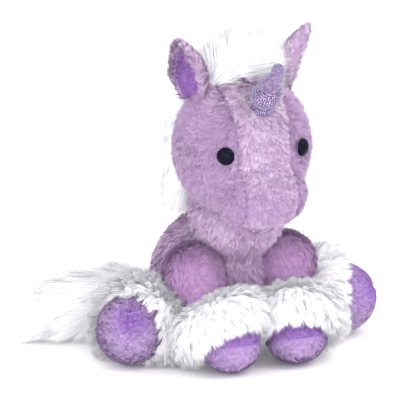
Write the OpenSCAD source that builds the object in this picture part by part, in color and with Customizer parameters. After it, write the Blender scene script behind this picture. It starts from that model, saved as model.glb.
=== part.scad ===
// Seated plush unicorn, about 30 cm tall, sewn from pile fabric and stuffed.
// It faces -Y with its right side towards -X, and sits on the plane z = 0.
// The origin is on that plane, under the middle of the seat.

/* [Torso] */
// Width of the stuffed body
torso_w = 126; // [105:1:152]
// Depth of the stuffed body, chest to back
torso_d = 116; // [97:1:140]
// Height of the body egg before the seat flattens it
torso_h = 132; // [110:1:159]
// How much the seat flattens the egg
seat_flat = 6; // [4:0.5:8]
// Radius of the stuffed ball that the neck turns on
neck_ball_r = 43; // [38:0.5:46]

/* [Head] */
// Width of the head across the cheeks
head_w = 122; // [102:1:147]
// Depth of the head, forehead to nape
head_d = 112; // [94:1:135]
// Height of the head
head_h = 132; // [110:1:159]
// How far the head sits forward of the body's middle
head_forward = 46; // [40:1:50]
// Width of the gusset panel that runs from nose to nape
gusset_w = 48; // [40:1:58]
// Width of the muzzle
muzzle_w = 72; // [60:1:86]
// Depth of the muzzle
muzzle_d = 56; // [47:1:67]
// Height of the muzzle
muzzle_h = 64; // [54:1:76]
// Diameter of each safety eye
eye_d = 16; // [13:0.5:20]
// Diameter of an eye's shank
eye_shank_d = 4; // [3.4:0.1:4.8]

/* [Horn and ears] */
// Length of the horn
horn_l = 58; // [48:1:70]
// Diameter of the horn where it is sewn on
horn_d = 25; // [21:0.5:30]
// Length of an ear
ear_l = 62; // [52:1:74]
// Width of an ear's open cup
ear_w = 37; // [31:0.5:44]
// Radius of the rolled seam that an ear folds on
ear_roll_r = 5; // [4:0.1:6]

/* [Legs] */
// Radius of a front leg
foreleg_r = 25; // [21:0.5:27]
// Length of a front leg, shoulder to hoof
foreleg_l = 74; // [68:1:84]
// Width and depth of a front hoof
forehoof_d = 59; // [52:1:64]
// Height of a front hoof
forehoof_h = 50; // [44:1:56]
// Radius of a hind leg
hindleg_r = 22; // [18.5:0.5:25]
// Length of a hind leg, hip to hoof
hindleg_l = 66; // [60:1:79]
// Diameter of a hind hoof
hindhoof_d = 65; // [56:1:72]

/* [Long fur] */
// Outer radius of a leg's fur cuff
cuff_r = 49; // [42:0.5:54]
// Length of a cuff along its leg
cuff_l = 26; // [22:1:30]
// Thickness of the tail at its fullest
tail_d = 54; // [45:1:60]
// How far the tail's tip lies from the rump
tail_reach = 150; // [140:1:170]
// Height that the crest stands over the crown
crest_h = 44; // [36:1:52]

/* [Fabric and fits] */
// Thickness of the sewn plush with its flattened pile
cloth = 2.5; // [2:0.1:3]
// Clearance between bodies that move on each other
joint_gap = 0.6; // [0.5:0.05:0.8]

/* [Hidden] */
$fn = 64;
SIDES = ["right", "left"];

// Torso
seat_z = torso_h / 2 - seat_flat;
torso_mid = [0, -2, seat_z];
torso_top = seat_z + torso_h / 2;
torso_size = [torso_w, torso_d, torso_h];
pellet_d = torso_w * 0.44;
seat_drop = 2;

// Head and neck
head_mid = [0, torso_mid[1] - head_forward, torso_top + head_h / 2];
head_size = [head_w, head_d, head_h];
neck_mid = [0, head_mid[1] + 10, torso_top + 2];
muzzle_mid = head_mid + [0, -0.75 * head_d / 2, -0.545 * head_h / 2];
muzzle_size = [muzzle_w, muzzle_d, muzzle_h];
chin_z = muzzle_mid[2] - 0.4 * muzzle_h;
neck_wrap_r = neck_ball_r + joint_gap;
head_socket_r = neck_wrap_r + cloth + joint_gap;
neck_turns = [-20, 0, 20];
nod_back = 10;

// Eyes: the axis leaves the head at eye_turn from straight ahead
eye_turn = 37;
eye_lift = 4 / (head_h / 2);
eye_seat = 0.2;
shank_l = 11;
washer_d = 15;
washer_t = 1.6;
shank_fit = 0.15;

// Horn
horn_lean = 42;
horn_root = on_head([0, -0.71, 0.70]);
horn_tip_r = 3.2;
horn_lobes = 3;
horn_bulge = 1.7;
horn_thread_r = 0.8;

// Ears
ear_ray = [-0.76, 0.10, 0.65];
ear_root = on_head(ear_ray) + [0, 0, 2];
ear_lean = 16;
ear_forward = 9;
ear_face = 22;
ear_folds = [-8, 25];
ear_skirt = 3;
ear_roll_l = ear_w * 0.65;
ear_wall = 3;
ear_foot_h = 13;
lining = 2;

// Legs: each runs from a ball in the torso to the middle of its hoof
shoulder = [19 - torso_w / 2, -torso_d / 2 + 15, seat_z + 19];
forehoof_x = -forehoof_d / 2 - 2.5;
forehoof_drop = shoulder[2] - forehoof_h / 2;
forehoof_reach = sqrt(pow(foreleg_l, 2) - pow(forehoof_drop, 2)
    - pow(shoulder[0] - forehoof_x, 2));
forehoof_mid = [forehoof_x, shoulder[1] - forehoof_reach, forehoof_h / 2];
foreleg_ball_r = foreleg_r + 3.5;
foreleg_sweep = 1.4;
sole_tilt = 12;
hip = [13 - torso_w / 2, 4, hindhoof_d / 2];
hindleg_turn_right = 38;
hindleg_turn_left = 24;
hindleg_ball_r = hindleg_r + 2.5;
hindleg_swing = 20;
hindleg_sweep = 4.8;
hip_pocket_r = hindleg_r + 7;
mid_gap = 0.4;
cuff_gap = 1.5;
cuff_place = 0.70;
cuff_lift = 0.6;

// The upright plane between a front cuff and the hind cuff beside it
parting_point = [forehoof_x - 31, shoulder[1] - 23, 0];
parting_turn = 43;

// Tail
tail_ball_r = 9;
tail_root = [-8, torso_mid[1] + torso_d / 2 - 4, 27];
tail_r = tail_d / 2;
tail_lift = 0.6;

LILAC = "#b892c6";
FROST = "#c9a9d3";
PURPLE = "#9a63c6";
SOLE = "#b98fd2";
WHITE = "#ecebf1";
SILVER = "#9a8ab5";
FILL = "#f4f2ee";

// ---- Helpers -------------------------------------------------------------

// The point where a ray from the head's middle leaves the head.
// The ray is given in fractions of the head's half sizes.
function on_head(ray) = head_mid
    + [ray[0] * head_w / 2, ray[1] * head_d / 2, ray[2] * head_h / 2] / norm(ray);

// The direction straight out of the skull at one of its points.
function head_normal(point) =
    let (d = point - head_mid,
         n = [d[0] / pow(head_w, 2), d[1] / pow(head_d, 2), d[2] / pow(head_h, 2)])
    n / norm(n);

// A point part of the way from a to b.
function along(a, b, share) = a + (b - a) * share;

// How far a hind leg points forward of straight out to its side.
function turn_of(side) = side == "left" ? hindleg_turn_left : hindleg_turn_right;

// The middle of a right hind hoof whose leg lies at the given turn.
function hindhoof_mid(turn) = hip + hindleg_l * [-cos(turn), -sin(turn), 0];

// Builds the children, which are made for the right side, on the side asked for.
module on_side(side) {
    if (side == "left")
        mirror([1, 0, 0]) children();
    else
        children();
}

// An ellipsoid of the given full sizes.
module egg(size) {
    scale(size / 2) sphere(r = 1);
}

// Stands the children's +Z along the line from a towards b, with their origin at a.
module aim(a, b) {
    d = b - a;
    translate(a)
        rotate([0, acos(d[2] / norm(d)), atan2(d[1], d[0])])
            children();
}

// Everything below a level.
module below(level) {
    translate([-400, -400, level - 800]) cube([800, 800, 800]);
}

// Half outline of a round limb: a ball round the origin and a straight bar up to l.
module limb_outline(l, ball_r, bar_r) {
    intersection() {
        union() {
            circle(r = ball_r);
            square([bar_r, l]);
        }
        translate([0, -ball_r - 1]) square([ball_r + 1, l + ball_r + 2]);
    }
}

// A round limb: a ball at a and a straight round bar from a to b.
module limb(a, b, ball_r, bar_r) {
    aim(a, b) rotate_extrude() limb_outline(norm(b - a), ball_r, bar_r);
}

// ---- Torso ---------------------------------------------------------------

// The torso's outer form, shrunk by inset: an egg with the neck ball on top.
module torso_form(inset = 0) {
    union() {
        translate(torso_mid) egg(torso_size - [2, 2, 2] * inset);
        translate(neck_mid) sphere(r = neck_ball_r - inset);
    }
}

// Room for the front legs and the tail, which keep to it as they move.
module foreleg_room() {
    for (side = SIDES)
        on_side(side)
            limb(shoulder, forehoof_mid, foreleg_ball_r + joint_gap,
                foreleg_r + joint_gap + foreleg_sweep);
    translate(tail_root) sphere(r = tail_ball_r + joint_gap);
}

// Room for the hind legs, in every place that they swing to.
module hindleg_room() {
    for (side = SIDES)
        on_side(side)
            limb(hip, hindhoof_mid(turn_of(side) - hindleg_swing / 2),
                hindleg_ball_r + joint_gap, hindleg_r + joint_gap + hindleg_sweep);
}

// The rounder pocket that the stuffing keeps clear round each hip.
module hip_pocket() {
    for (side = SIDES)
        on_side(side) {
            translate(hip) sphere(r = hindleg_ball_r + joint_gap);
            translate(hip + [6, -5.4, 0]) rotate([0, -90, 0]) cylinder(r = hip_pocket_r, h = 200);
        }
}

// The sewn body cover, still in one piece.
module torso_cover() {
    difference() {
        torso_form();
        torso_form(cloth);
        foreleg_room();
        hindleg_room();
        below(seat_drop);
    }
}

module torso_chest() {
    color(FROST) difference() {
        torso_cover();
        translate([-200, torso_mid[1], -10]) cube([400, 400, 400]);
    }
}

module torso_back() {
    color(LILAC) difference() {
        torso_cover();
        translate([-200, torso_mid[1] - 400, -10]) cube([400, 400, 400]);
    }
}

// The flat panel that the toy sits on.
module seat_panel() {
    color(LILAC) intersection() {
        translate(torso_mid) egg(torso_size);
        translate([-200, -200, 0]) cube([400, 400, seat_drop]);
    }
}

module pellet_bag_form() {
    difference() {
        translate([0, torso_mid[1], seat_drop + pellet_d * 0.32]) sphere(d = pellet_d);
        below(seat_drop);
    }
}

module pellet_bag() {
    color("#d8d2c4") difference() {
        pellet_bag_form();
        hip_pocket();
    }
}

module torso_stuffing() {
    color(FILL) difference() {
        torso_form(cloth);
        below(seat_drop);
        pellet_bag_form();
        foreleg_room();
        hip_pocket();
    }
}

// ---- Neck ----------------------------------------------------------------

// The gathered cloth between the neck ball and the head: part of a hollow ball.
module neck_wrap() {
    color(LILAC) intersection() {
        translate(neck_mid) difference() {
            sphere(r = neck_wrap_r + cloth);
            sphere(r = neck_wrap_r);
        }
        translate(neck_mid + [-200, -200, neck_ball_r * 0.2]) cube([400, 400, 400]);
    }
}

// ---- Head ----------------------------------------------------------------

// The head's outer form, shrunk by inset: the skull with the muzzle in front.
module head_form(inset = 0) {
    union() {
        translate(head_mid) egg(head_size - [2, 2, 2] * inset);
        translate(muzzle_mid) egg(muzzle_size - [2, 2, 2] * inset);
    }
}

// Puts the children on the right eye's axis, with z = 0 on the face of the cloth.
module at_eye() {
    out = [-sin(eye_turn), -cos(eye_turn), 0];
    foot = on_head(out + [0, 0, eye_lift]);
    aim(foot, foot + out) children();
}

// Room for what passes into the head: neck, ear seams and eye shanks.
module head_room() {
    translate(neck_mid) sphere(r = head_socket_r);
    for (side = SIDES)
        on_side(side) {
            at_ear() ear_roll(joint_gap);
            at_eye() translate([0, 0, -shank_l]) cylinder(d = eye_shank_d, h = shank_l);
        }
}

// The sewn head cover, still in one piece.
module head_cover() {
    difference() {
        head_form();
        head_form(cloth);
        head_room();
    }
}

module gusset_slab(from_z, to_z) {
    translate([-gusset_w / 2, -300, from_z]) cube([gusset_w, 600, to_z - from_z]);
}

module head_gusset() {
    color(FROST) difference() {
        intersection() {
            head_cover();
            gusset_slab(chin_z, 500);
        }
        at_horn() cylinder(d = horn_d - 2 * cloth, h = 60, center = true);
    }
}

module chin_panel() {
    color(FROST) intersection() {
        head_cover();
        gusset_slab(0, chin_z);
    }
}

module head_side(side) {
    color(LILAC) on_side(side) intersection() {
        head_cover();
        translate([-gusset_w / 2 - 200, -300, 0]) cube([200, 600, 500]);
    }
}

module head_stuffing() {
    color(FILL) difference() {
        head_form(cloth);
        head_room();
        eye_washers();
        at_horn() translate([0, 0, -cloth]) cylinder(d = horn_d - 2 * cloth, h = 60);
    }
}

// A safety eye: a domed button with a plain shank.
module eye(side) {
    dome_r = eye_d * 0.56;
    color("#15121c") on_side(side) at_eye() union() {
        intersection() {
            translate([0, 0, eye_d * 0.36 - dome_r]) sphere(r = dome_r);
            translate([0, 0, eye_seat]) cylinder(d = eye_d, h = eye_d);
        }
        translate([0, 0, -shank_l]) cylinder(d = eye_shank_d, h = shank_l + 1);
    }
}

// The two lock washers that hold the eyes from inside.
module eye_washers() {
    color("#f2efe8") for (side = SIDES)
        on_side(side) at_eye() translate([0, 0, -shank_l + 3]) difference() {
            cylinder(d = washer_d, h = washer_t);
            translate([0, 0, -1]) cylinder(d = eye_shank_d + 2 * shank_fit, h = washer_t + 2);
        }
}

// ---- Horn ----------------------------------------------------------------

// Puts the children on the horn's axis, with z = 0 on the forehead.
module at_horn() {
    translate(horn_root) rotate([horn_lean, 0, 0]) children();
}

// Half outline of the horn: a taper with a bulge for each turn of the thread.
function horn_edge(inset) = [for (k = [0 : 36])
    let (share = k / 36,
         taper = horn_d / 2 + (horn_tip_r - horn_d / 2) * share,
         lobe = horn_bulge * abs(sin(180 * horn_lobes * share)) * (1 - share / 2))
    [max(0.5, taper + lobe - inset), share * (horn_l - horn_tip_r)]];

module horn_form(inset = 0) {
    rotate_extrude() polygon(concat([[0, -6]], [[horn_d / 2 - inset, -6]], horn_edge(inset),
        [[0, horn_l - inset]]));
}

// The tilted rings that the winding thread makes between the bulges.
module horn_rings(grow = 0) {
    for (k = [1 : horn_lobes - 1]) {
        share = k / horn_lobes;
        ring_r = horn_d / 2 + (horn_tip_r - horn_d / 2) * share;
        translate([0, 0, share * (horn_l - horn_tip_r)])
            rotate_extrude() translate([ring_r, 0]) circle(r = horn_thread_r + grow, $fn = 24);
    }
}

module horn_cover() {
    color(SILVER) difference() {
        at_horn() horn_form();
        at_horn() horn_form(cloth / 2);
        at_horn() horn_rings();
        head_form();
    }
}

module horn_thread() {
    color(PURPLE) at_horn() horn_rings();
}

module horn_stuffing() {
    color(FILL) difference() {
        at_horn() horn_form(cloth / 2);
        at_horn() horn_rings();
        head_form();
    }
}

// ---- Long fur on the head ------------------------------------------------

// A rounded ridge through the given balls, each [point, radius].
module ridge(balls) {
    for (k = [0 : len(balls) - 2])
        hull() {
            translate(balls[k][0]) sphere(r = balls[k][1], $fn = 24);
            translate(balls[k + 1][0]) sphere(r = balls[k + 1][1], $fn = 24);
        }
}

crown = head_mid + [0, 0, head_h / 2];
nape = head_mid + [0, head_d / 2, 0];
fur_split = crown[1] + 38;
mane_gap = 1;

module crest_fur() {
    color(WHITE) difference() {
        ridge([[crown + [0, -6, 1], 9], [crown + [-14, 14, crest_h * 0.27], 18],
            [crown + [12, 20, crest_h - 18], 17], [crown + [44, 27, crest_h - 12], 10]]);
        head_form();
        translate([-200, fur_split, 0]) cube([400, 400, 500]);
        for (side = SIDES) on_side(side) at_ear() ear_room();
    }
}

// The back's upper half as the head meets it, in every place that the head turns and nods to.
module back_room() {
    for (turn = neck_turns)
        translate(neck_mid) rotate([nod_back, 0, 0]) rotate([0, 0, -turn])
            translate(torso_mid - neck_mid) egg(torso_size + [2, 2, 2] * mane_gap);
}

module mane_fur() {
    color(WHITE) difference() {
        ridge([[crown + [0, 26, -4], 17], [crown + [0, 50, -28], 19], [nape + [-3, 8, 0], 19],
            [nape + [-14, 9, -36], 15], [nape + [-27, 10, -60], 9]]);
        head_form();
        back_room();
        translate(neck_mid) sphere(r = head_socket_r);
        translate([-200, fur_split - 400, 0]) cube([400, 400, 500]);
        for (side = SIDES) on_side(side) at_ear() ear_room();
    }
}

// ---- Ears ----------------------------------------------------------------

// Puts the children in the right ear's frame: +Z to the tip, +X out of the open side.
module at_ear() {
    translate(ear_root) rotate([ear_forward, -ear_lean, 0]) rotate([0, 0, ear_face - 180])
        children();
}

// The reverse: brings children from the toy's frame into the ear's.
module from_ear() {
    rotate([0, 0, 180 - ear_face]) rotate([0, ear_lean, 0]) rotate([-ear_forward, 0, 0])
        translate(-ear_root) children();
}

// The rolled seam at the ear's foot, along the ear's own Y.
module ear_roll(grow = 0) {
    rotate([90, 0, 0])
        cylinder(r = ear_roll_r + grow, h = ear_roll_l + 2 * grow, center = true);
}

// Half outline of the cup: a leaf, full at a third of its height.
function ear_edge(inset) = [for (k = [0 : 20])
    let (share = k / 20)
    [max(0.4, (ear_w / 2) * (0.62 + 0.38 * sin(270 * min(share, 1 / 3)))
        * pow(cos(90 * max(0, (share - 1 / 3) * 1.5)), 0.8) - inset),
     ear_skirt + share * (ear_l - ear_skirt) - inset * share * 2]];

// The half space that the head takes up beside the ear, in every place that the ear folds to.
module head_beside_ear() {
    root = on_head(ear_ray);
    for (fold = ear_folds)
        rotate([0, -fold, 0]) from_ear()
            aim(root, root + head_normal(root))
                translate([-200, -200, joint_gap - 400]) cube(400);
}

module ear_leaf(inset) {
    rotate_extrude() polygon(concat([[0, ear_skirt]], ear_edge(inset),
        [[0, ear_edge(inset)[20][1]]]));
}

// One layer of the cup, from one inset to another, with its open half cut away.
module ear_cup(outer_inset, inner_inset) {
    difference() {
        ear_leaf(outer_inset);
        ear_leaf(inner_inset);
        translate([0, -100, -10]) cube([100, 200, 200]);
        head_beside_ear();
    }
}

// The folded foot that joins the cup to its rolled seam.
module ear_foot() {
    ear_roll();
    translate([-ear_wall / 2, -ear_roll_l / 2, 0])
        cube([ear_wall, ear_roll_l, ear_foot_h]);
}

module ear_outer(side) {
    color(LILAC) on_side(side) at_ear() union() {
        ear_cup(0, ear_wall);
        ear_foot();
    }
}

module ear_lining(side) {
    color(PURPLE) on_side(side) at_ear() difference() {
        ear_cup(ear_wall, ear_wall + lining);
        ear_foot();
    }
}

// The space that an ear needs as it folds.
module ear_room() {
    translate([0, 0, ear_skirt]) cylinder(r = ear_w / 2 + 3, h = ear_l + 10);
}

// ---- Front legs ----------------------------------------------------------

module forehoof_form(inset = 0) {
    translate(forehoof_mid) egg([forehoof_d, forehoof_d, forehoof_h] - [2, 2, 2] * inset);
}

module foreleg_form(inset = 0) {
    limb(shoulder, forehoof_mid, foreleg_ball_r - inset, foreleg_r - inset);
}

module foreleg_sleeve(side) {
    color(LILAC) on_side(side) difference() {
        foreleg_form();
        foreleg_form(cloth);
        forehoof_form();
    }
}

module foreleg_stuffing(side) {
    color(FILL) on_side(side) union() {
        foreleg_form(cloth);
        forehoof_form(cloth);
    }
}

// Everything below the seam plane between a hoof's upper and its sole.
module below_seam(mid, tilt) {
    translate(mid) rotate(tilt) translate([-100, -100, -200]) cube([200, 200, 200]);
}

module forehoof_shell() {
    difference() {
        forehoof_form();
        forehoof_form(cloth);
        foreleg_form(cloth);
    }
}

module forehoof_upper(side) {
    color(PURPLE) on_side(side) difference() {
        forehoof_shell();
        below_seam(forehoof_mid, [-sole_tilt, 0, 0]);
    }
}

module forehoof_sole(side) {
    color(SOLE) on_side(side) intersection() {
        forehoof_shell();
        below_seam(forehoof_mid, [-sole_tilt, 0, 0]);
    }
}

// A cuff's outer form: a barrel of fur round the leg's axis.
module cuff_form(a, b) {
    mid = along(a, b, cuff_place);
    intersection() {
        translate(mid) sphere(r = cuff_r);
        aim(mid, b) cylinder(r = cuff_r + 1, h = cuff_l, center = true);
    }
}

// The space in front of the upright parting plane, or behind it.
module parted(front) {
    translate(parting_point) rotate([0, 0, parting_turn])
        translate([-200, front ? mid_gap - 400 : -mid_gap, -10]) cube([400, 400, 400]);
}

module foreleg_cuff(side) {
    color(WHITE) on_side(side) difference() {
        cuff_form(shoulder, forehoof_mid);
        foreleg_form();
        forehoof_form();
        translate(torso_mid) egg(torso_size + [2, 2, 2] * cuff_gap);
        parted(false);
        below(cuff_lift);
        translate([-mid_gap, -300, -10]) cube([200, 600, 400]);
    }
}

// ---- Hind legs -----------------------------------------------------------

// Each hind leg and its hoof are turned about one axis.

module hindleg_outline(inset = 0) {
    limb_outline(hindleg_l, hindleg_ball_r - inset, hindleg_r - inset);
}

module hindhoof_outline(inset = 0) {
    intersection() {
        translate([0, hindleg_l]) circle(d = hindhoof_d - 2 * inset);
        translate([0, hindleg_l - hindhoof_d]) square([hindhoof_d, 2 * hindhoof_d]);
    }
}

module hindleg_turned(turn) {
    aim(hip, hindhoof_mid(turn)) rotate_extrude() children();
}

module hindleg_sleeve(side) {
    color(LILAC) on_side(side) hindleg_turned(turn_of(side)) difference() {
        hindleg_outline();
        hindleg_outline(cloth);
        hindhoof_outline();
    }
}

module hindleg_stuffing(side) {
    color(FILL) on_side(side) hindleg_turned(turn_of(side)) union() {
        hindleg_outline(cloth);
        hindhoof_outline(cloth);
    }
}

module hindhoof_shell(turn) {
    hindleg_turned(turn) difference() {
        hindhoof_outline();
        hindhoof_outline(cloth);
        hindleg_outline(cloth);
    }
}

module hindhoof_upper(side) {
    turn = turn_of(side);
    color(PURPLE) on_side(side) difference() {
        hindhoof_shell(turn);
        below(hip[2]);
    }
}

module hindhoof_sole(side) {
    turn = turn_of(side);
    color(SOLE) on_side(side) intersection() {
        hindhoof_shell(turn);
        below(hip[2]);
    }
}

// Everything on the front leg's side of a plane just clear of that leg, seen from a point.
module beside_foreleg(seen_from) {
    run = (forehoof_mid - shoulder) / foreleg_l;
    across = seen_from - shoulder;
    out = across - run * (run * across);
    aim(shoulder, shoulder + out)
        translate([-200, -200, foreleg_ball_r + cuff_gap - 400]) cube(400);
}

module hindleg_cuff(side) {
    turn = turn_of(side);
    color(WHITE) on_side(side) difference() {
        cuff_form(hip, hindhoof_mid(turn));
        hindleg_turned(turn) union() {
            hindleg_outline();
            hindhoof_outline();
        }
        parted(true);
        beside_foreleg(along(hip, hindhoof_mid(turn), cuff_place));
        below(cuff_lift);
    }
}

// ---- Tail ----------------------------------------------------------------

// The tail's run along the floor towards the right side, as balls.
tail_tip = tail_root + [-tail_reach + 3, 18, -tail_root[2] + 3 + tail_lift];
tail_balls = [
    [tail_root + [-14, 16, 0], 11],
    [tail_root + [-32, 19, 0], tail_r * 0.78],
    [[tail_root[0] - 68, tail_root[1] + 14, tail_r + tail_lift], tail_r],
    [[tail_root[0] - 98, tail_root[1] + 17, tail_r * 0.93 + tail_lift], tail_r * 0.93],
    [[tail_root[0] - 120, tail_root[1] + 18, tail_r * 0.72 + tail_lift], tail_r * 0.72],
    [tail_tip, 3]
];

// The rolled cloth root that the fur is sewn to.
module tail_core() {
    color(LILAC) union() {
        translate(tail_root) sphere(r = tail_ball_r);
        aim(tail_root, tail_balls[1][0]) cylinder(r = tail_ball_r - 3, h = 34);
    }
}

module tail_fur() {
    color(WHITE) difference() {
        ridge(tail_balls);
        tail_core();
        translate(torso_mid) egg(torso_size + [6, 6, 6]);
    }
}

// ---- Nodes ---------------------------------------------------------------

torso_chest();
torso_back();
seat_panel();
torso_stuffing();
pellet_bag();
neck_wrap();
head_gusset();
head_side("right");  // head_side_right
head_side("left");  // head_side_left
chin_panel();
head_stuffing();
eye("right");  // eye_right
eye("left");  // eye_left
eye_washers();
horn_cover();
horn_thread();
horn_stuffing();
crest_fur();
mane_fur();
ear_outer("right");  // ear_outer_right
ear_lining("right");  // ear_lining_right
ear_outer("left");  // ear_outer_left
ear_lining("left");  // ear_lining_left
foreleg_sleeve("right");  // foreleg_sleeve_right
foreleg_stuffing("right");  // foreleg_stuffing_right
foreleg_cuff("right");  // foreleg_cuff_right
forehoof_upper("right");  // forehoof_upper_right
forehoof_sole("right");  // forehoof_sole_right
foreleg_sleeve("left");  // foreleg_sleeve_left
foreleg_stuffing("left");  // foreleg_stuffing_left
foreleg_cuff("left");  // foreleg_cuff_left
forehoof_upper("left");  // forehoof_upper_left
forehoof_sole("left");  // forehoof_sole_left
hindleg_sleeve("right");  // hindleg_sleeve_right
hindleg_stuffing("right");  // hindleg_stuffing_right
hindleg_cuff("right");  // hindleg_cuff_right
hindhoof_upper("right");  // hindhoof_upper_right
hindhoof_sole("right");  // hindhoof_sole_right
hindleg_sleeve("left");  // hindleg_sleeve_left
hindleg_stuffing("left");  // hindleg_stuffing_left
hindleg_cuff("left");  // hindleg_cuff_left
hindhoof_upper("left");  // hindhoof_upper_left
hindhoof_sole("left");  // hindhoof_sole_left
tail_core();
tail_fur();
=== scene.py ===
# %% [markdown]
# # A seated plush unicorn
# The toy is sewn from pile fabric over loose fibre stuffing, with long faux fur at the cuffs, mane and tail.
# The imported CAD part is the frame. Each soft skin below is shaped here, swollen by a cloth simulation,
# cut along its real seams, and then covered with its own pile, strand by strand.
# Lengths are in millimetres until a mesh is made, -Y is where the toy looks, and -X is its own right.

import bmesh
import bpy
import numpy as np
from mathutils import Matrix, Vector


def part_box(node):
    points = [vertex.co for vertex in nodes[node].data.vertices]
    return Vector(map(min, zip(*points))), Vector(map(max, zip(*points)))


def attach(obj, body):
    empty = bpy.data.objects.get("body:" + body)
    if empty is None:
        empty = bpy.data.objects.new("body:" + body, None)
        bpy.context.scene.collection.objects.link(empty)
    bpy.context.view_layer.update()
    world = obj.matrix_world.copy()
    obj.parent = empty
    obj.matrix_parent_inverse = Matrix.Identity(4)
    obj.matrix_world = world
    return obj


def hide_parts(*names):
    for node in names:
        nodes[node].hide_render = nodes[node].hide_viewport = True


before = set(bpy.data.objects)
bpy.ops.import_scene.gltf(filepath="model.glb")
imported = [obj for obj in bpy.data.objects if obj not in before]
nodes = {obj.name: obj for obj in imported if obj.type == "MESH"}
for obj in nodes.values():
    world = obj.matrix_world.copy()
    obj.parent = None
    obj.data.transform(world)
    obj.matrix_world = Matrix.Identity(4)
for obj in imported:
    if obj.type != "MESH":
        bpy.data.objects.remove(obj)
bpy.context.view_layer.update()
scene = bpy.context.scene

# %% [markdown]
# ## Small tools
# Vectors are rows of numpy arrays. A surface is a grid of points, and its faces come from the grid.

# %% Vector and mesh tools
UP = np.array([0.0, 0.0, 1.0])
DOWN = -UP


def unit(v):
    """The same directions with length one."""
    v = np.asarray(v, float)
    return v / np.maximum(np.linalg.norm(v, axis=-1, keepdims=True), 1e-9)


def dot(a, b):
    """Row by row scalar product, kept as a column."""
    return np.sum(a * b, axis=-1, keepdims=True)


def fade(x, start, end):
    """0 before start, 1 after end, and smooth between."""
    t = np.clip((x - start) / (end - start), 0, 1)
    return t * t * (3 - 2 * t)


def grid_quads(rows, columns, closed):
    """Quads between the points of a rows x columns grid; closed joins its last column to its first."""
    r, c = np.meshgrid(np.arange(rows - 1), np.arange(columns if closed else columns - 1), indexing="ij")
    r, c, d = r.ravel(), c.ravel(), (c.ravel() + 1) % columns
    return np.stack([r * columns + c, r * columns + d, (r + 1) * columns + d, (r + 1) * columns + c], 1)


def fan_ends(rows, columns):
    """Triangles that close a grid of rings; its two end points are numbered after the grid's own."""
    ring = np.arange(columns)
    after = (ring + 1) % columns
    first, last = rows * columns, (rows - 1) * columns
    start = np.stack([np.full(columns, first), after, ring], 1)
    end = np.stack([np.full(columns, first + 1), last + ring, last + after], 1)
    return np.concatenate([start, end])


def spokes(columns, side, across):
    """Even directions all the way round, from side towards across."""
    turn = np.arange(columns) * 2 * np.pi / columns
    return np.cos(turn)[:, None] * side + np.sin(turn)[:, None] * across


def make_mesh(name, points, quads, triangles=None, closed=False):
    """An object with these points, in millimetres, and these faces; a closed one is made to face outwards."""
    triangles = np.empty((0, 3), int) if triangles is None else triangles
    if closed:
        halves = np.concatenate([quads[:, [0, 1, 2]], quads[:, [0, 2, 3]], triangles])
        a, b, c = (points[halves[:, i]] for i in range(3))
        if np.sum(a * np.cross(b, c)) < 0:
            quads, triangles = quads[:, ::-1], triangles[:, ::-1]
    mesh = bpy.data.meshes.new(name)
    mesh.vertices.add(len(points))
    mesh.vertices.foreach_set("co", (points * 0.001).astype(np.float32).ravel())
    corners = np.concatenate([quads.ravel(), triangles.ravel()]).astype(np.int32)
    mesh.loops.add(len(corners))
    mesh.loops.foreach_set("vertex_index", corners)
    starts = [np.arange(len(quads)) * 4, len(quads) * 4 + np.arange(len(triangles)) * 3]
    mesh.polygons.add(len(quads) + len(triangles))
    mesh.polygons.foreach_set("loop_start", np.concatenate(starts).astype(np.int32))
    mesh.polygons.foreach_set("use_smooth", np.ones(len(mesh.polygons), bool))
    mesh.update(calc_edges=True)
    piece = bpy.data.objects.new(name, mesh)
    scene.collection.objects.link(piece)
    return piece


def points_of(piece):
    """A mesh's points in millimetres."""
    co = np.empty(len(piece.data.vertices) * 3, np.float32)
    piece.data.vertices.foreach_get("co", co)
    return co.reshape(-1, 3).astype(float) * 1000


def normals_of(piece):
    """A mesh's point normals."""
    n = np.empty(len(piece.data.vertices) * 3, np.float32)
    piece.data.vertices.foreach_get("normal", n)
    return n.reshape(-1, 3).astype(float)


def move_points(piece, points):
    """Gives a mesh new places for its points, in millimetres."""
    piece.data.vertices.foreach_set("co", (points * 0.001).astype(np.float32).ravel())
    piece.data.update()


def dress(piece, material, body, stands_for=()):
    """Gives a piece its material, the body it rides on and the CAD nodes that it stands for."""
    piece.data.materials.clear()
    piece.data.materials.append(material)
    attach(piece, body)
    if stands_for:
        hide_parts(*stands_for)
    return piece


# %% [markdown]
# ## Materials
# Pile is dark at the roots and pale at the tips: on the frosted plush this is its frosting, and on all pile
# it is also painted shade deep in the pile, and no two tufts are quite the same.
# So a strand's colour is read from the strand's own UV map: U is the tuft's tint and V runs from root to tip.
# Cloth, thread and stuffing get a two-tone grain in object space, sized in millimetres.

# %% Material tools
def linear(code):
    """A colour code, written in sRGB, as linear light."""
    c = np.array([int(code[i : i + 2], 16) for i in (1, 3, 5)]) / 255
    c = np.where(c <= 0.04045, c / 12.92, ((c + 0.055) / 1.055) ** 2.4)
    return (*c.tolist(), 1.0)


def new_material(name, roughness, **sockets):
    """A material with one Principled surface; sockets are its settings by name."""
    material = bpy.data.materials.new(name)
    material.use_nodes = True
    surface = material.node_tree.nodes["Principled BSDF"]
    surface.inputs["Roughness"].default_value = roughness
    for key, value in sockets.items():
        surface.inputs[key.replace("_", " ")].default_value = value
    return material, surface


def add(material, kind, links=(), stops=(), **settings):
    """One more node with its settings, links of (input, source) and a ramp's stops of (place, colour)."""
    node = material.node_tree.nodes.new(kind)
    for key, value in settings.items():
        setattr(node, key, value)
    if stops:
        line = node.color_ramp.elements
        while len(line) < len(stops):
            line.new(0.5)
        for element, (place, code) in zip(line, stops):
            element.position, element.color = place, linear(code)
    for key, source in links:
        if isinstance(source, bpy.types.NodeSocket):
            material.node_tree.links.new(source, node.inputs[key])
        else:
            node.inputs[key].default_value = source
    return node


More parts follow.
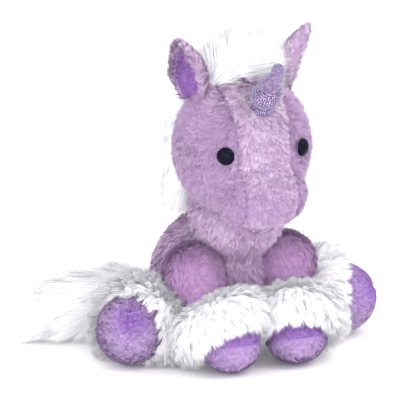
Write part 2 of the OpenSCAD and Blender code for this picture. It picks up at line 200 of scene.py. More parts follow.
def join(surface, **sources):
    """Links the surface's sockets, by name, to the outputs that feed them."""
    for key, source in sources.items():
        surface.id_data.links.new(source, surface.inputs[key.replace("_", " ")])


def pile_material(name, tints, root_shade_and_frost, roughness=0.85):
    """Fibre whose colour is its tuft's tint times a darkening from root to tip: painted shade deep in the
    pile, and on frosted plush also its frosting.
    """
    sheen = {"Sheen_Weight": 0.3, "Sheen_Roughness": 0.5}
    material, surface = new_material(name, roughness, Specular_IOR_Level=0.25, **sheen)
    uv = add(material, "ShaderNodeUVMap", uv_map="OFBake")
    split = add(material, "ShaderNodeSeparateXYZ", [("Vector", uv.outputs["UV"])]).outputs
    tint = add(material, "ShaderNodeValToRGB", [("Fac", split["X"])], tints).outputs["Color"]
    # The root-to-tip ramp is painted shade deep in the pile, and on frosted plush also its frosting.
    shade = add(material, "ShaderNodeValToRGB", [("Fac", split["Y"])], root_shade_and_frost).outputs["Color"]
    inputs = [("Factor", 1.0), ("A", tint), ("B", shade)]
    mix = add(material, "ShaderNodeMix", inputs, data_type="RGBA", blend_type="MULTIPLY")
    join(surface, Base_Color=mix.outputs["Result"])
    return material


def cloth_material(name, dark, light, grain, bump, roughness=0.9, **sockets):
    """Cloth or soft filling: two tones and a raised grain of the given size in millimetres."""
    material, surface = new_material(name, roughness, **sockets)
    place = add(material, "ShaderNodeTexCoord").outputs["Object"]
    size = [("Vector", place), ("Scale", 1000 / grain), ("Detail", 3.0)]
    noise = add(material, "ShaderNodeTexNoise", size).outputs["Fac"]
    colour = add(material, "ShaderNodeValToRGB", [("Fac", noise)], [(0.3, dark), (0.7, light)])
    raised = add(material, "ShaderNodeBump", [("Height", noise), ("Strength", bump), ("Distance", 0.0004)])
    join(surface, Base_Color=colour.outputs["Color"], Normal=raised.outputs["Normal"])
    return material


# %% The toy's materials
# Frosted polyester plush: dusky roots under pale tips, so each tuft shows; the dusk at the roots is this
# frosting together with painted shade.
frosted_pile = pile_material(
    "frosted lilac pile",
    [(0.0, "#8d7299"), (0.35, "#af92ba"), (0.7, "#c8aacb"), (1.0, "#ebdfeb")],
    [(0.0, "#b9a9c2"), (0.4, "#e8e2ec"), (1.0, "#ffffff")],
)
# Plain plush on the legs: one even, pinker lilac.
leg_pile = pile_material(
    "smooth lilac pile",
    [(0.0, "#a67db0"), (0.5, "#c097c6"), (1.0, "#d5b4d7")],
    [(0.0, "#d2c5da"), (0.4, "#efeaf2"), (1.0, "#ffffff")],
)
# Velour on the hooves and in the ears: deep purple to pale lilac; on a hind hoof the deep end paints the
# shade of nap that is brushed down.
purple_pile = pile_material(
    "purple velour pile",
    [(0.0, "#7d4eaa"), (0.3, "#9665ba"), (0.7, "#b596c8"), (1.0, "#d3bfdc")],
    [(0.0, "#b9a8c6"), (0.4, "#e6dfec"), (1.0, "#ffffff")],
)
# Long faux fur. A faint glow stands for the light that real strands scatter among themselves.
white_pile = pile_material(
    "long white fur",
    [(0.0, "#f2f1f7"), (0.5, "#f8f8fb"), (1.0, "#fdfdfe")],
    [(0.0, "#f4f3f8"), (0.3, "#fbfbfd"), (1.0, "#ffffff")],
    roughness=0.7,
)
white_surface = white_pile.node_tree.nodes["Principled BSDF"]
white_surface.inputs["Emission Color"].default_value = linear("#ffffff")
white_surface.inputs["Emission Strength"].default_value = 0.04
# Backing cloth, which shows only between the strands, and what the toy is filled and sewn with.
lilac_skin = cloth_material("lilac backing cloth", "#a487b3", "#bb9dc8", 2.5, 0.4)
purple_skin = cloth_material("purple velour backing", "#7d569c", "#9069ac", 1.5, 0.3)
sole_skin = cloth_material("pale velour backing", "#8b6da5", "#9d80b3", 1.5, 0.3)
white_bed = cloth_material("dense white underfur", "#f2f1f8", "#fbfafd", 2.0, 0.4)
lining_velour = cloth_material("purple ear velour", "#84589f", "#a072ba", 1.2, 0.5, Sheen_Weight=0.3)
stuffing = cloth_material("white fibre stuffing", "#e6e3dd", "#f7f5f1", 4.0, 0.8)
bag_cloth = cloth_material("granule bag cloth", "#cbc4b4", "#ddd7c9", 1.0, 0.4)
thread = cloth_material("purple sewing thread", "#6f4896", "#8a5fae", 0.6, 0.4, roughness=0.6)
washer_plastic = cloth_material("nylon lock washer", "#ebe8e1", "#f3f0ea", 6.0, 0.05, roughness=0.4)
# Moulded, polished plastic: nearly black, with sharp reflections.
eye_plastic, eye_surface = new_material("black eye plastic", 0.08, Specular_IOR_Level=0.07)
eye_surface.inputs["Base Color"].default_value = linear("#0d0c1e")
print(len(bpy.data.materials), "materials")

# %% [markdown]
# The horn is a knitted mesh with metallic thread. Its cells lie on a map that runs round and along the horn,
# so the cells follow the winding as they do on the cloth.

# %% Horn cloth
horn_mesh, horn_surface = new_material("glitter horn mesh", 0.42, Metallic=0.35, Sheen_Weight=0.3)
horn_uv = add(horn_mesh, "ShaderNodeUVMap", uv_map="horn")
cell_size = [("Vector", horn_uv.outputs["UV"]), ("Scale", 1.0), ("Randomness", 0.3)]
cell = add(horn_mesh, "ShaderNodeTexVoronoi", cell_size).outputs["Distance"]
# Each cell is near white in its middle, a painted glint of the metallic thread, and dark at its edges,
# painted shade between the raised cells.
glint_and_shade_tones = [(0.0, "#f6f2fa"), (0.16, "#d6cbe2"), (0.3, "#8b769f"), (0.5, "#503b68")]
horn_colour = add(horn_mesh, "ShaderNodeValToRGB", [("Fac", cell)], glint_and_shade_tones)
beads = [("Height", cell), ("Strength", 0.7), ("Distance", 0.0006)]
horn_bump = add(horn_mesh, "ShaderNodeBump", beads, invert=True)
join(horn_surface, Base_Color=horn_colour.outputs["Color"], Normal=horn_bump.outputs["Normal"])

# %% [markdown]
# ## Forms of the stuffed skins
# A stuffed body is a few eggs that have grown together. Seen from one point inside, its surface in any
# direction is the softened largest of the distances at which a ray leaves each egg.
# A limb is a circle carried along an axis.

# %% Form tools
def leave(origin, ray, middle, radii):
    """How far along each ray the far side of an egg is, or 0 where the ray misses it."""
    q = (origin - middle) / radii
    w = ray / radii
    a, b, c = dot(w, w), dot(w, q), np.dot(q, q) - 1
    inside = b * b - a * c
    return np.where(inside > 0, (-b + np.sqrt(np.maximum(inside, 0))) / a, 0).clip(0)


def star_form(name, origin, eggs, power=12, rows=60, columns=90, low=None):
    """The joined eggs' outer surface round origin; low is a level that flattens the underside."""
    origin = np.array(origin, float)
    tilt, turn = np.linspace(0, np.pi, rows + 2)[1:-1], np.arange(columns) * 2 * np.pi / columns
    tilt, turn = np.meshgrid(tilt, turn, indexing="ij")
    ray = np.stack([np.sin(tilt) * np.cos(turn), np.sin(tilt) * np.sin(turn), np.cos(tilt)], -1)
    ray = np.concatenate([ray.reshape(-1, 3), [UP, DOWN]])
    total = sum(leave(origin, ray, middle, np.array(radii, float)) ** power for middle, radii in eggs)
    points = origin + ray * total ** (1 / power)
    if low is not None:
        points[:, 2] = np.maximum(points[:, 2], low)
    return make_mesh(name, points, grid_quads(rows, columns, True), fan_ends(rows, columns), closed=True)


def axis_frame(a, b):
    """The direction from a to b and two directions across it."""
    along = unit(np.array(b, float) - a)
    side = unit(np.cross(along, UP if abs(along[2]) < 0.9 else [0, 1, 0]))
    return along, side, np.cross(along, side)


def turned_form(name, a, b, profile, rows=40, columns=48):
    """A closed round form on the axis from a to b; profile gives (place in mm, radius) for shares 0 to 1."""
    along, side, across = axis_frame(a, b)
    place, radius = profile(np.linspace(0, 1, rows))
    rings = a + place[:, None, None] * along + radius[:, None, None] * spokes(columns, side, across)
    ends = np.array([a + place[0] * along, a + place[-1] * along])
    points = np.concatenate([rings.reshape(-1, 3), ends])
    return make_mesh(name, points, grid_quads(rows, columns, True), fan_ends(rows, columns), closed=True)


def limb_profile(length, ball, bar, end):
    """A limb's outline: a ball at the root, an even bar, and a rounded end at length."""

    def outline(share):
        """Place and radius at a share of the limb."""
        place = -ball + share * (length + ball)
        root = np.sqrt(np.maximum(ball**2 - np.minimum(place, 0) ** 2, 0)) * (1 - 0.12 * fade(place, 0, 25))
        even = np.minimum(1, bar / ball + 0.2 * (1 - fade(place, -5, 20)))
        tip = np.sqrt(np.clip((length - place) / end, 0, 1))
        return place, np.maximum(np.minimum(root, ball) * even * tip, 0.2)

    return outline


# %% Where the parts are
HEAD = np.array([0.0, -48.0, 192.0])
MUZZLE = np.array([0.0, -90.0, 156.0])
NECK = np.array([0.0, -38.0, 128.0])
TORSO = np.array([0.0, -2.0, 60.0])
SHOULDER = np.array([-44.0, -43.0, 79.0])
FOREHOOF = np.array([-32.0, -92.1, 25.0])
HIP = {"right": np.array([-50.0, 4.0, 32.5]), "left": np.array([50.0, 4.0, 32.5])}
HINDHOOF = {"right": np.array([-102.0, -36.6, 32.5]), "left": np.array([110.3, -22.8, 32.5])}
EYE = {"right": np.array([-36.6, -92.6, 196.0]), "left": np.array([36.6, -92.6, 196.0])}
HORN_ROOT = np.array([0.0, -87.9, 238.3])
HORN_AXIS = np.array([0.0, -np.sin(np.radians(42)), np.cos(np.radians(42))])
GUSSET = 24.0  # half the width of the head's gusset
CHIN = 130.4  # height of the seam between the gusset and the chin


def for_side(point, side):
    """A place given for the right side, on the side asked for."""
    return point * np.array([1 if side == "right" else -1, 1, 1])


# %% The stuffed forms before they swell
skins = {}
head_eggs = [(HEAD, [57, 52, 62]), (MUZZLE, [38.5, 28, 30.5])]
skins["head"] = star_form("head", [0, -56, 186], head_eggs, power=20)
torso_eggs = [(TORSO, [59, 54, 62]), (NECK, [39, 39, 39])]
skins["torso"] = star_form("torso", [0, -12, 82], torso_eggs, low=1.0)
for side in ("right", "left"):
    shoulder, hoof = for_side(SHOULDER, side), for_side(FOREHOOF, side)
    skins["foreleg_" + side] = turned_form("foreleg", shoulder, hoof, limb_profile(66, 26.5, 23.5, 12))
    skins["forehoof_" + side] = star_form("forehoof", hoof, [(hoof, [27.3, 27.3, 23.2])], low=1.0)
    hip, hoof = HIP[side], HINDHOOF[side]
    skins["hindleg_" + side] = turned_form("hindleg", hip, hoof, limb_profile(56, 23, 20.5, 10))
    skins["hindhoof_" + side] = star_form("hindhoof", hoof, [(hoof, [30.3, 30.3, 30.3])], low=1.0)
print(len(skins), "stuffed forms")

# %% [markdown]
# ## Stuffing the skins
# Stuffing pushes a sewn cover outwards everywhere but at its seams. Each form is remeshed evenly,
# pinned along its seams, and swollen by a cloth simulation with pressure and no gravity.
# No point may move more than 2 mm. Then one subdivision smooths the skin, and each seam is drawn in.

# %% Seams
def plane_seam(point, normal):
    """Distance from a seam that lies in a plane."""
    point, normal = np.array(point, float), unit(normal)
    return lambda p: np.abs((p - point) @ normal)


def head_seam(p):
    """Distance from the head's nearest seam: the gusset's two long edges and the chin's line."""
    edge = np.abs(np.abs(p[:, 0]) - GUSSET)
    chin = np.where(np.abs(p[:, 0]) < GUSSET, np.abs(p[:, 2] - CHIN), 99)
    return np.minimum(edge, chin)


def torso_seam(p):
    """Distance from the torso's side seams and from the chest's middle seam."""
    sides = np.abs(p[:, 1] - TORSO[1])
    chest = np.where(p[:, 1] < -30, np.abs(p[:, 0]), 99)
    return np.minimum(sides, chest)


def past_root(middle):
    """Zero beyond 30 mm from a limb's root, which pins the limb there and lets only its root swell."""
    return lambda p: 30 - np.linalg.norm(p - middle, axis=1).clip(0, 30)


seams = {"head": head_seam, "torso": torso_seam}
hoof_tilt = {}
for side in ("right", "left"):
    hoof = for_side(FOREHOOF, side)
    hoof_tilt["forehoof_" + side] = (hoof, unit([0, 0.21, 0.98]))
    leg = unit(HINDHOOF[side] - HIP[side])
    hoof_tilt["hindhoof_" + side] = (HINDHOOF[side], unit(UP - 0.33 * leg))
    seams["foreleg_" + side] = past_root(for_side(SHOULDER, side))
    seams["hindleg_" + side] = past_root(HIP[side])
for name, (point, normal) in hoof_tilt.items():
    seams[name] = plane_seam(point, normal)


# %% Cloth simulation
def baked(piece):
    """Works a piece's modifiers out into its mesh."""
    graph = bpy.context.evaluated_depsgraph_get()
    mesh = bpy.data.meshes.new_from_object(piece.evaluated_get(graph))
    piece.modifiers.clear()
    piece.data = mesh


def remesh(piece, size):
    """Even quads of about the given size in millimetres."""
    modifier = piece.modifiers.new("even", "REMESH")
    modifier.mode, modifier.voxel_size, modifier.use_smooth_shade = "VOXEL", size * 0.001, True
    baked(piece)


def swell(pieces, seams, cap, pressure=300.0):
    """Runs one cloth simulation on all the pieces, which are pinned at their seams, and keeps the result."""
    before = {name: points_of(piece) for name, piece in pieces.items()}
    for name, piece in pieces.items():
        pins = piece.vertex_groups.new(name="seam")
        pins.add(np.flatnonzero(seams[name](before[name]) < 3).tolist(), 1.0, "REPLACE")
        cloth = piece.modifiers.new("stuffed", "CLOTH")
        cloth.settings.use_pressure = True
        cloth.settings.uniform_pressure_force = pressure
        cloth.settings.tension_stiffness = cloth.settings.compression_stiffness = 1.0
        cloth.settings.shear_stiffness = 0.3
        cloth.settings.effector_weights.gravity = 0
        cloth.settings.vertex_group_mass = "seam"
        cloth.point_cache.frame_start, cloth.point_cache.frame_end = 1, 20
    for step in range(1, 21):
        scene.frame_set(step)
    for name, piece in pieces.items():
        baked(piece)
        shift = points_of(piece) - before[name]
        length = np.linalg.norm(shift, axis=1, keepdims=True)
        shift *= np.minimum(1, cap / np.maximum(length, 1e-6))
        move_points(piece, before[name] + shift)
        print(name, "swelled by up to", round(float(length.max()), 2), "mm")


for name, piece in skins.items():
    remesh(piece, 5.0 if name in ("head", "torso") else 4.0)
swell(skins, seams, cap=2.0)

# %% Draw the seams in
SEAM = {"head": (2.2, 3.2), "torso": (1.6, 3.0)}  # depth and width of the drawn-in groove
for name, piece in skins.items():
    modifier = piece.modifiers.new("smooth", "SUBSURF")
    modifier.levels = modifier.render_levels = 1
    baked(piece)
    deep, wide = SEAM.get(name, (1.3, 2.2) if "hoof" in name else (0.0, 1.0))
    points, normals = points_of(piece), normals_of(piece)
    points -= normals * (deep * np.exp(-((seams[name](points) / wide) ** 2)))[:, None]
    points[:, 2] = np.maximum(points[:, 2], 0.9)
    move_points(piece, points)
points, normals = points_of(skins["head"]), normals_of(skins["head"])
for side, foot in EYE.items():
    near = np.linalg.norm(points - foot, axis=1)
    points -= normals * (1.6 * np.exp(-((near / 11) ** 2)))[:, None]
move_points(skins["head"], points)
print(sum(len(piece.data.polygons) for piece in skins.values()), "faces on the skins")


# %% [markdown]
# ## Cutting the skins into their sewn panels
# Each CAD node that shows is one cut piece of cloth, so each skin is parted along its seams.

# %% Panels
def panel(source, name, cuts, material, body, nodes_for):
    """The part of a skin that lies on the inner side of each cut, given as (point, outward normal)."""
    mesh = bmesh.new()
    mesh.from_mesh(source.data)
    for point, normal in cuts:
        whole = mesh.verts[:] + mesh.edges[:] + mesh.faces[:]
        place = [v * 0.001 for v in point]
        bmesh.ops.bisect_plane(mesh, geom=whole, plane_co=place, plane_no=normal, clear_outer=True)
    cut = bpy.data.meshes.new(name)
    mesh.to_mesh(cut)
    mesh.free()
    piece = bpy.data.objects.new(name, cut)
    scene.collection.objects.link(piece)
    cut.polygons.foreach_set("use_smooth", np.ones(len(cut.polygons), bool))
    dress(piece, material, body, nodes_for)
    return piece


X, Y, Z = np.eye(3)
right_edge, left_edge, chin_line = (-GUSSET, 0, 0), (GUSSET, 0, 0), (0, 0, CHIN)
gusset_cuts = [(right_edge, -X), (left_edge, X)]
body_panels = [
    ("head", "gusset", [*gusset_cuts, (chin_line, -Z)], ["head_gusset", "head_stuffing"], "frosted_plush"),
    ("head", "chin", [*gusset_cuts, (chin_line, Z)], ["chin_panel"], "frosted_plush"),
    ("head", "right", [(right_edge, X)], ["head_side_right"], "lilac_plush"),
    ("head", "left", [(left_edge, -X)], ["head_side_left"], "lilac_plush"),
    ("torso", "chest", [(TORSO, Y)], ["torso_chest", "torso_stuffing"], "frosted_plush"),
    ("torso", "back", [(TORSO, -Y)], ["torso_back"], "lilac_plush"),
]
panels = {}
for body, part, cuts, covered, slot in body_panels:
    name = f"{body}_{part}"
    panels[name] = panel(skins[body], name + "_skin", cuts, lilac_skin, body, covered)
for side in ("right", "left"):
    for leg, hoof in (("foreleg", "forehoof"), ("hindleg", "hindhoof")):
        body, ball = f"{leg}_{side}", skins[f"{hoof}_{side}"]
        covered = [f"{leg}_{part}_{side}" for part in ("sleeve", "stuffing")]
        panels[body] = panel(skins[body], body + "_skin", [], lilac_skin, body, covered)
        point, normal = hoof_tilt[f"{hoof}_{side}"]
        upper_cloth = purple_skin if leg == "foreleg" else sole_skin
        for part, away, cloth, slot in (
            ("upper", -normal, upper_cloth, "purple_velour"),
            ("sole", normal, sole_skin, "lilac_velour"),
        ):
            name = f"{hoof}_{part}_{side}"
            panels[name] = panel(ball, name + "_skin", [(point, away)], cloth, body, [name])
for piece in skins.values():
    bpy.data.objects.remove(piece)
print(len(panels), "sewn panels")


# %% [markdown]
# ## Growing the pile
# A strand is a thin blade that lies along the combed direction, a little raised, and faces outwards.
# Tufts share a direction and a tint, and their tips draw together, which gives crushed plush its grain.

# %% Strand tools
def scatter(piece, count, rng, keep=None):
    """Points spread evenly over a mesh with the mesh's normals; keep(points) is the chance to grow there."""
    mesh = piece.data
    mesh.calc_loop_triangles()
    corners = np.empty(len(mesh.loop_triangles) * 3, np.int32)
    mesh.loop_triangles.foreach_get("vertices", corners)
    corners = corners.reshape(-1, 3)
    points, normals = points_of(piece), normals_of(piece)
    a, b, c = (points[corners[:, i]] for i in range(3))
    area = np.linalg.norm(np.cross(b - a, c - a), axis=1)
    pick = rng.choice(len(corners), count, p=area / area.sum())
    weights = np.sort(rng.random((count, 2)), axis=1)
    weights = np.stack([weights[:, 0], weights[:, 1] - weights[:, 0], 1 - weights[:, 1]], 1)
    place = sum(points[corners[pick, i]] * weights[:, i : i + 1] for i in range(3))
    facing = unit(sum(normals[corners[pick, i]] * weights[:, i : i + 1] for i in range(3)))
    if keep is not None:
        grown = rng.random(count) < keep(place)
        place, facing = place[grown], facing[grown]
    return place, facing


def tufts(points, size, rng):
    """A tuft number for each point, from cells of about the given size with ragged edges."""
    ragged = points + rng.normal(0, size * 0.18, points.shape)
    cells = np.floor(ragged / size + rng.random(3)).astype(int)
    return np.unique(cells, axis=0, return_inverse=True)[1].ravel()


def mean_by(tuft, values):
    """Each row's tuft average."""
    count = np.bincount(tuft)[:, None]
    return (np.stack([np.bincount(tuft, values[:, i]) for i in range(3)], 1) / count)[tuft]


def grow(name, material, body, roots, normals, flow, rng, length, width, lift, tuft_size, pull,
         stray, curl, tint, limits, slot, droop=0.0, segments=2, spread=0.12, soft=0.6):
    """One piece of pile. Each strand steps from its root along the combed direction, turning as it goes.

    flow is the combed direction, and lift the angle in degrees at which strands leave the cloth.
    stray and curl turn each tuft, pull draws its tips together, and droop bends them down.
    tint is a range to draw each tuft's tint from, or an array with a tint for each strand.
    """
    count = len(roots)
    tuft = tufts(roots, tuft_size, rng)
    groups = tuft.max() + 1
    length = np.broadcast_to(np.asarray(length, float), count) * rng.uniform(0.8, 1.15, count)
    comb = unit(flow - dot(flow, normals) * normals)
    across = np.cross(normals, comb)
    yaw = (rng.normal(0, stray, groups)[tuft] + rng.normal(0, stray * 0.35, count))[:, None]
    rise = np.radians(lift + rng.normal(0, 7, groups)[tuft] + rng.normal(0, 4, count))[:, None]
    heading = np.cos(yaw) * comb + np.sin(yaw) * across
    heading = np.cos(rise) * heading + np.sin(rise) * normals
    wave = rng.uniform(-curl, curl, groups)[tuft][:, None]
    path = [roots - normals * 0.6]
    for step in range(segments):
        share = (step + 1) / segments
        heading = unit(heading + wave * across / segments + droop * share * DOWN / segments)
        path.append(path[-1] + heading * (length / segments)[:, None])
    path = np.stack(path)
    for step in range(1, segments + 1):
        share = step / segments
        path[step] += (mean_by(tuft, path[step]) - path[step]) * pull * share
    low, high = limits
    step = path[1:] - path[0]
    reach = np.where(step > 0, high - path[0], path[0] - low) / np.maximum(np.abs(step), 1e-6)
    share = reach.min(axis=(0, 2)).clip(0.15, 1.0)
    share *= np.where(share < 1, rng.uniform(0.75, 1.0, count), 1)
    path[1:] = path[0] + step * share[:, None]
    path = np.clip(path, low, high)
    along = unit(path[-1] - path[0])
    blade = unit(np.cross(along, normals) + rng.normal(0, 0.25, roots.shape)) * (width / 2)
    thick = np.linspace(1, 0, segments + 1)[:-1] ** 0.5
    sides = [path[:-1] - blade * thick[:, None, None], path[:-1] + blade * thick[:, None, None]]
    points = np.concatenate([np.stack(sides, 1).reshape(2 * segments, count, 3), path[-1:]])
    points = points.transpose(1, 0, 2).reshape(-1, 3)
    per = 2 * segments + 1
    first = (np.arange(count) * per)[:, None]
    quads = np.concatenate([first + [2 * k, 2 * k + 1, 2 * k + 3, 2 * k + 2] for k in range(segments - 1)])
    piece = make_mesh(name, points, quads, first + [2 * segments - 2, 2 * segments - 1, 2 * segments])
    face = unit(np.cross(blade, along))
    shading = unit(soft * normals + (1 - soft) * face)
    piece.data.normals_split_custom_set_from_vertices(np.repeat(shading, per, axis=0))
    shade = rng.uniform(*tint, groups)[tuft] if isinstance(tint, tuple) else tint
    shade = np.clip(shade + rng.normal(0, spread, count), 0.01, 0.99)
    u = np.repeat(shade, per) + np.tile([-0.002, 0.002] * segments + [0.0], count)
    v = np.tile(np.append(np.repeat(np.arange(segments) / segments, 2), 1.0), count)
    corner = np.empty(len(piece.data.loops), np.int32)
    piece.data.loops.foreach_get("vertex_index", corner)
    layer = piece.data.uv_layers.new(name="OFBake")
    layer.uv.foreach_set("vector", np.stack([u, v], 1)[corner].astype(np.float32).ravel())
    dress(piece, material, body)
    return piece


def room(*names):
    """The box that some CAD nodes fill together, with the little that fur may pass it by."""
    boxes = [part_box(name) for name in names]
    low = np.min([b[0] for b in boxes], 0) * 1000
    high = np.max([b[1] for b in boxes], 0) * 1000
    low, high = low - 9.5, high + 9.5
    low[2] = max(low[2], 0.6)  # just over the floor
    return low, high


# %% [markdown]
# ### Short pile on the head and body
# The frosted plush is about 8 mm long. It is combed down the forehead and back over the cheeks,
# it is shorter beside a seam, and none grows under the eyes or the horn.

# %% Head pile
def bare_spots(p):
    """Chance that pile grows on the head: none under the eyes, the horn and the neck."""
    chance = np.ones(len(p))
    for foot in EYE.values():
        chance *= np.linalg.norm(p - foot, axis=1) > 7.2
    chance *= np.linalg.norm(p - HORN_ROOT, axis=1) > 11.5
    chance *= np.linalg.norm(p - NECK, axis=1) > 40
    return chance


def head_length(p):
    """Pile length over the head: shorter near seams, eyes and on the muzzle."""
    eye = np.minimum(*[np.linalg.norm(p - foot, axis=1) for foot in EYE.values()])
    muzzle = 1 - 0.3 * fade(-p[:, 1], 85, 105)
    return 8.5 * muzzle * (0.45 + 0.55 * fade(head_seam(p), 0, 5)) * (0.45 + 0.55 * fade(eye, 7, 16))


def head_flow(p):
    """Combed direction on the head: down the face, and back over the upper cheeks."""
    back = fade(np.abs(p[:, 0]), 20, 45) * fade(p[:, 2], 195, 235)
    return np.stack([0.15 * np.sign(p[:, 0]), 0.1 + 1.1 * back, -1 + 0.7 * back], 1)


def head_tint(p, rng):
    """Tuft tint over the head: paler down the middle of the face, painted paler at the top as light against
    the crest's shadow, and darker at the seams.
    """
    aside = np.abs(p[:, 0])
    pale = 0.28 * (1 - fade(aside, 14, 34)) * fade(-p[:, 1], 60, 90) * (0.4 + 0.6 * fade(p[:, 2], 150, 185))
    # Painted light: the top of the head is made paler to lift the shadow that the crest casts there.
    pale += 0.3 * (1 - fade(aside, 24, 50)) * fade(p[:, 2], 222, 244)
    seam = -0.35 * (1 - fade(head_seam(p), 0, 3.0))
    tuft = tufts(p, 3.2, rng)
    return 0.44 + pale + seam + rng.normal(0, 0.12, tuft.max() + 1)[tuft]


FROSTED = {"pull": 0.3, "stray": 0.45, "curl": 0.8, "slot": "frosted_plush"}
head_room = room("head_gusset", "head_side_right", "head_side_left")
head_counts = {"gusset": 64000, "right": 62000, "left": 46000, "chin": 6000}
for seed, (name, count) in enumerate(head_counts.items(), start=10):
    rng = np.random.default_rng(seed)
    roots, normals = scatter(panels["head_" + name], count, rng, bare_spots)
    tone = head_tint(roots, rng)
    grow(f"head_{name}_pile", frosted_pile, "head", roots, normals, head_flow(roots), rng, head_length(roots),
         width=0.6, lift=30, tuft_size=2.2, tint=tone, limits=head_room, **FROSTED)

# %% Torso pile
def torso_grows(p):
    """Chance that pile grows on the torso: none where the legs, tail and head cover it."""
    chance = (p[:, 2] > 2.0).astype(float)
    for side in ("right", "left"):
        chance *= np.linalg.norm(p - for_side(SHOULDER, side), axis=1) > 25
        chance *= np.linalg.norm(p - HIP[side], axis=1) > 22
    chance *= (np.linalg.norm(p - HEAD, axis=1) > 52) * (p[:, 2] < 152)
    return chance


for seed, (name, count) in enumerate({"chest": 62000, "back": 50000}.items(), start=20):
    rng = np.random.default_rng(seed)
    roots, normals = scatter(panels["torso_" + name], count, rng, torso_grows)
    outward = 0.5 * np.sign(roots[:, 0]) * fade(np.abs(roots[:, 0]), 0, 20)
    flow = outward[:, None] * X + DOWN
    tuft = tufts(roots, 3.2, rng)
    away = torso_seam(roots)
    # The torso's tufts start paler than the head's: painted light that makes up for the shade below the head.
    tone = 0.66 - 0.3 * (1 - fade(away, 0, 3)) + rng.normal(0, 0.13, tuft.max() + 1)[tuft]
    length = 8.5 * (0.5 + 0.5 * fade(away, 0, 5))
    grow(f"torso_{name}_pile", frosted_pile, "torso", roots, normals, flow, rng, length,
         width=0.6, lift=30, tuft_size=2.6, tint=tone, limits=room("torso_chest", "torso_back"),
         **{**FROSTED, "pull": 0.35})

# %% Neck
neck = star_form("neck_wrap_cloth", NECK, [(NECK, [41.8, 41.8, 41.8])], low=137.0)
dress(neck, lilac_skin, "neck", ["neck_wrap"])
rng = np.random.default_rng(25)
roots, normals = scatter(neck, 30000, rng, lambda p: (p[:, 2] > 137.5) & (p[:, 2] < 162))
grow("neck_wrap_pile", frosted_pile, "neck", roots, normals, DOWN, rng, 6.0,
     width=0.6, lift=26, tuft_size=2.4, tint=(0.3, 0.6), limits=room("neck_wrap"), **FROSTED)

# %% Leg and hoof pile
shoulders = {side: for_side(SHOULDER, side) for side in HIP}
forehooves = {side: for_side(FOREHOOF, side) for side in HIP}
LEGS = (
    # leg, hoof, roots, hooves, where the leg's pile ends, strands on the leg and on each half of the hoof
    ("foreleg", "forehoof", shoulders, forehooves, 62, 44000, 30000),
    ("hindleg", "hindhoof", HIP, HINDHOOF, 48, 14000, 36000),
)
# The patch of a hind hoof whose brushed nap is painted dark as shade: how it leans off the leg's axis, and
# its reach.
BRUSHED_NAP_SHADE = {"right": ([0.45, -0.2, 0.6], 15), "left": ([-0.3, 0.1, 0.3], 27)}


def grow_leg(body, side, leg, root, run, end, count):
    """The plain pile of one leg, longer round its root; it returns the random draws for the leg's hoof."""

    def along(p):
        """How far down the leg the points are."""
        return (p - root) @ run

    rng = np.random.default_rng(43)
    roots, normals = scatter(panels[body], count, rng, lambda p: (along(p) < end) & (along(p) > -30))
    length = 5.5 + 2.5 * (1 - fade(along(roots), -10, 25))
    grow(f"{body}_pile", leg_pile, body, roots, normals, run, rng, length,
         width=0.6, lift=24, tuft_size=2.8, pull=0.3, stray=0.3, curl=0.4, tint=(0.35, 0.7),
         limits=room(f"{leg}_sleeve_{side}"), slot="leg_plush")
    return rng


def hoof_tone(roots, leg, part, side, foot, run):
    """The velour's tint: even on a front hoof, and on a hind one painted dark in a patch, as the shade of
    brushed nap.
    """
    if leg == "foreleg":
        return 0.42 if part == "upper" else 0.75
    lean, reach = BRUSHED_NAP_SHADE[side]
    patch = foot + unit(run + lean) * 30
    # The dark patch is painted shade of the nap that is brushed down.
    return 0.9 - 0.75 * np.exp(-(np.linalg.norm(roots - patch, axis=1) / reach) ** 2)


for side in ("right", "left"):
    for leg, hoof, leg_roots, hooves, end, leg_count, hoof_count in LEGS:
        body, root, foot = f"{leg}_{side}", leg_roots[side], hooves[side]
        run = unit(foot - root)
        rng = grow_leg(body, side, leg, root, run, end, leg_count)
        normal = hoof_tilt[f"{hoof}_{side}"][1]
        for part, slot, away in (("upper", "purple_velour", -normal), ("sole", "lilac_velour", normal)):
            name = f"{hoof}_{part}_{side}"
            roots, normals = scatter(panels[name], hoof_count, rng, lambda p: (p - root) @ run > 30)
            seam = seams[f"{hoof}_{side}"](roots)
            length, groove = 2.8, 0.1
            if leg == "foreleg":
                length, groove = 2.8 * (0.5 + 0.5 * fade(seam, 0, 3)), 0.3
            tone = hoof_tone(roots, leg, part, side, foot, run) - groove * (1 - fade(seam, 0, 1.2))
            tuft = tufts(roots, 2.4, rng)
            tone = tone + rng.normal(0, 0.09, tuft.max() + 1)[tuft]
            grow(name + "_pile", purple_pile, body, roots, normals, run + 0.25 * away, rng, length,
                 width=0.6, lift=30, tuft_size=2.4, pull=0.3, stray=0.6, curl=0.5, tint=tone,
                 limits=room(name), slot=slot)
print("short pile done")

# %% [markdown]
# ## Long white fur
# The cuffs, mane, crest and tail are strips of long-haired faux fur. Under the strands lies a dense bed,
# and the strands run in locks that point away from the strip and sag under their own weight.

